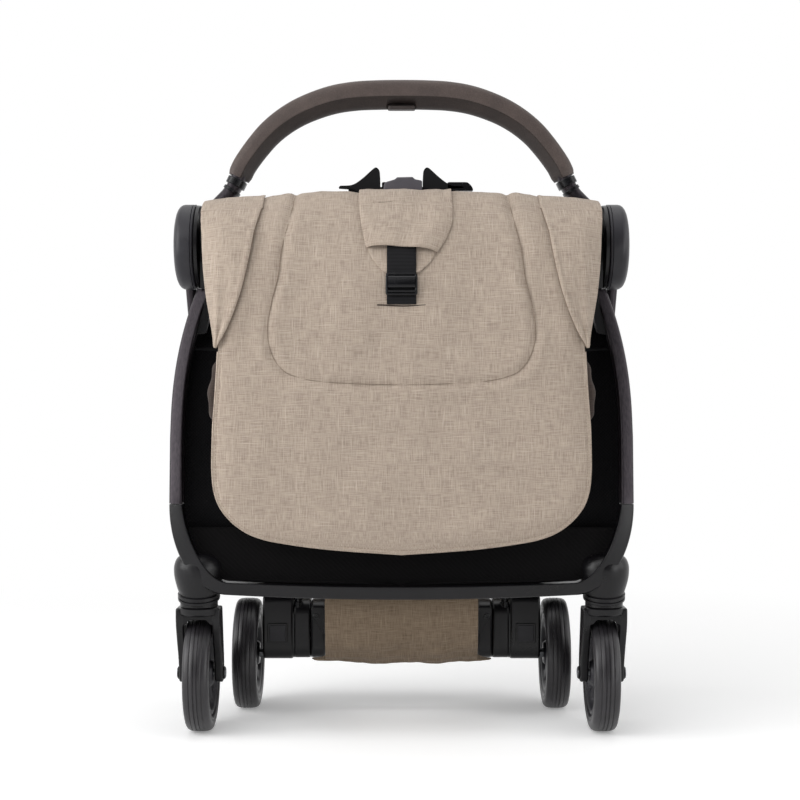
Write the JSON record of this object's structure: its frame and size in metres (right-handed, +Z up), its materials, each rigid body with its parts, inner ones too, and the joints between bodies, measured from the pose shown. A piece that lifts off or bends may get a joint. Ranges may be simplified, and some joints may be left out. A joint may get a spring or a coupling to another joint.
{
  "type": "compact stroller, folded",
  "caption": "Compact stroller stored folded: two hubs carry the leg frames, seat, backrest and canopy, with an arched push bar.",
  "frame": {"origin": "on the floor, under the middle of the bounding box", "axes": "+X to the stroller's right in the picture, +Y to the back, +Z up; the front faces -Y"},
  "size_m": [0.491, 0.2731, 0.7013],
  "materials": {
    "linen": "woven linen",
    "liner": "plain weave",
    "webbing": "woven webbing",
    "mesh": "open mesh",
    "anodised": "black anodised",
    "moulded": "fine grained moulding",
    "grip": "fine grained",
    "tyre": "matt",
    "steel": "turned",
    "grey": "satin moulding"
  },
  "bodies": {
    "hub_frame": {"hub_cross_tube": "steel", "hub_ring_left": "moulded", "hub_ring_right": "moulded", "seat_bracket_left": "anodised", "seat_bracket_right": "anodised"},
    "front_frame": {"front_leg_top_left": "moulded", "front_leg_top_right": "moulded", "front_side_tube_left": "anodised", "front_side_tube_right": "anodised", "foot_bar": "moulded", "foot_panel": "moulded", "calf_mesh": "mesh", "swivel_housing_left": "moulded", "swivel_housing_right": "moulded", "basket": "linen"},
    "rear_frame": {"hub_cover_left": "moulded", "hub_cover_right": "moulded", "rear_leg_left": "anodised", "rear_leg_right": "anodised", "rear_leg_shoe_left": "moulded", "rear_leg_shoe_right": "moulded", "axle_block_left": "moulded", "axle_block_right": "moulded", "rear_axle": "steel"},
    "push_bar": {"push_tube_left": "anodised", "push_tube_right": "anodised", "handle_arch": "anodised", "handle_grip": "grip"},
    "fold_button": {"fold_button": "moulded"},
    "caster_left": {"caster_fork_left": "moulded", "front_axle_left": "steel"},
    "caster_right": {"caster_fork_right": "moulded", "front_axle_right": "steel"},
    "front_wheel_left": {"front_left_tyre": "tyre", "front_left_rim": "moulded"},
    "front_wheel_right": {"front_right_tyre": "tyre", "front_right_rim": "moulded"},
    "rear_wheel_left": {"rear_left_tyre": "tyre", "rear_left_rim": "moulded"},
    "rear_wheel_right": {"rear_right_tyre": "tyre", "rear_right_rim": "moulded"},
    "brake_left": {"brake_pedal_left": "moulded"},
    "brake_right": {"brake_pedal_right": "moulded"},
    "backrest": {"backrest_board": "moulded", "backrest_panel": "linen", "backrest_pad": "liner", "side_wing_left": "linen", "side_wing_right": "linen", "strap_flap": "linen", "recline_strap": "webbing", "harness_web": "webbing", "harness_buckle": "grey", "strap_adjuster": "moulded"},
    "strap_slider": {"strap_slider": "moulded"},
    "seat": {"seat_board": "moulded", "seat_pad": "liner"},
    "leg_rest": {"leg_rest_pad": "linen"},
    "canopy_rear": {"canopy_rear_bow": "moulded", "canopy_cloth": "linen"},
    "canopy_front": {"canopy_front_bow": "moulded"}
  },
  "joints": [
    {"name": "front_fold", "type": "hinge", "parent": "hub_frame", "child": "front_frame", "pos_m": [0, -0.0256, 0.516], "axis": [-1, 0, 0], "range_deg": [0, 28]},
    {"name": "rear_fold", "type": "hinge", "parent": "front_frame", "child": "rear_frame", "pos_m": [0, -0.0256, 0.516], "axis": [1, 0, 0], "range_deg": [0, 56.5], "deforming": ["basket"]},
    {"name": "push_bar_draw", "type": "slide", "parent": "front_frame", "child": "push_bar", "axis": [0, 0, 1], "range_m": [0, 0.301]},
    {"name": "button_press", "type": "slide", "parent": "push_bar", "child": "fold_button", "axis": [0, 0, 1], "range_m": [0, 0.003], "stiffness_N_per_m": 400, "springref_m": -0.002},
    {"name": "caster_left_swivel", "type": "hinge", "parent": "front_frame", "child": "caster_left", "pos_m": [-0.212, -0.0876, 0.1342], "axis": [0, 0, 1], "continuous": true},
    {"name": "front_wheel_left_spin", "type": "hinge", "parent": "caster_left", "child": "front_wheel_left", "pos_m": [-0.212, -0.0656, 0.061], "axis": [1, 0, 0], "continuous": true},
    {"name": "caster_right_swivel", "type": "hinge", "parent": "front_frame", "child": "caster_right", "pos_m": [0.212, -0.0876, 0.1342], "axis": [0, 0, 1], "continuous": true},
    {"name": "front_wheel_right_spin", "type": "hinge", "parent": "caster_right", "child": "front_wheel_right", "pos_m": [0.212, -0.0656, 0.061], "axis": [1, 0, 0], "continuous": true},
    {"name": "rear_wheel_left_spin", "type": "hinge", "parent": "rear_frame", "child": "rear_wheel_left", "pos_m": [-0.174, 0.0574, 0.062], "axis": [1, 0, 0], "continuous": true},
    {"name": "rear_wheel_right_spin", "type": "hinge", "parent": "rear_frame", "child": "rear_wheel_right", "pos_m": [0.174, 0.0574, 0.062], "axis": [1, 0, 0], "continuous": true},
    {"name": "brake_right_press", "type": "hinge", "parent": "rear_frame", "child": "brake_right", "pos_m": [0.0945, 0.0574, 0.062], "axis": [-1, 0, 0], "range_deg": [0, 18]},
    {"name": "brake_left_press", "type": "hinge", "parent": "rear_frame", "child": "brake_left", "pos_m": [-0.0945, 0.0574, 0.062], "axis": [-1, 0, 0], "range_deg": [0, 18.5]},
    {"name": "backrest_fold", "type": "hinge", "parent": "hub_frame", "child": "backrest", "pos_m": [0, -0.0436, 0.548], "axis": [-1, 0, 0], "range_deg": [0, 191], "deforming": ["side_wing_left", "side_wing_right", "harness_web", "harness_buckle", "strap_adjuster"]},
    {"name": "strap_adjust", "type": "slide", "parent": "backrest", "child": "strap_slider", "axis": [0, 0.2195, 0.9756], "range_m": [0, 0.008]},
    {"name": "seat_fold", "type": "hinge", "parent": "hub_frame", "child": "seat", "pos_m": [0, -0.0606, 0.44], "axis": [-1, 0, 0], "range_deg": [0, 90.5]},
    {"name": "leg_rest_fold", "type": "hinge", "parent": "seat", "child": "leg_rest", "pos_m": [0, -0.0836, 0.27485], "axis": [1, 0, 0], "range_deg": [0, 60.5]},
    {"name": "canopy_rear_fold", "type": "hinge", "parent": "hub_frame", "child": "canopy_rear", "pos_m": [0, -0.0256, 0.516], "axis": [1, 0, 0], "range_deg": [0, 122.5]},
    {"name": "canopy_fold", "type": "hinge", "parent": "canopy_rear", "child": "canopy_front", "pos_m": [0, -0.0256, 0.516], "axis": [1, 0, 0], "range_deg": [0, 100], "deforming": ["canopy_cloth"]}
  ],
  "couplings": [
    {"joint": "rear_fold", "follows": "front_fold", "ratio": 2},
    {"joint": "push_bar_draw", "follows": "front_fold", "m_per_rad": 0.61388},
    {"joint": "backrest_fold", "follows": "front_fold", "ratio": 6.7857},
    {"joint": "seat_fold", "follows": "front_fold", "ratio": 3.2143},
    {"joint": "leg_rest_fold", "follows": "front_fold", "ratio": 2.1429},
    {"joint": "canopy_rear_fold", "follows": "front_fold", "ratio": 4.3571},
    {"joint": "brake_left_press", "follows": "brake_right_press", "ratio": 1}
  ]
}
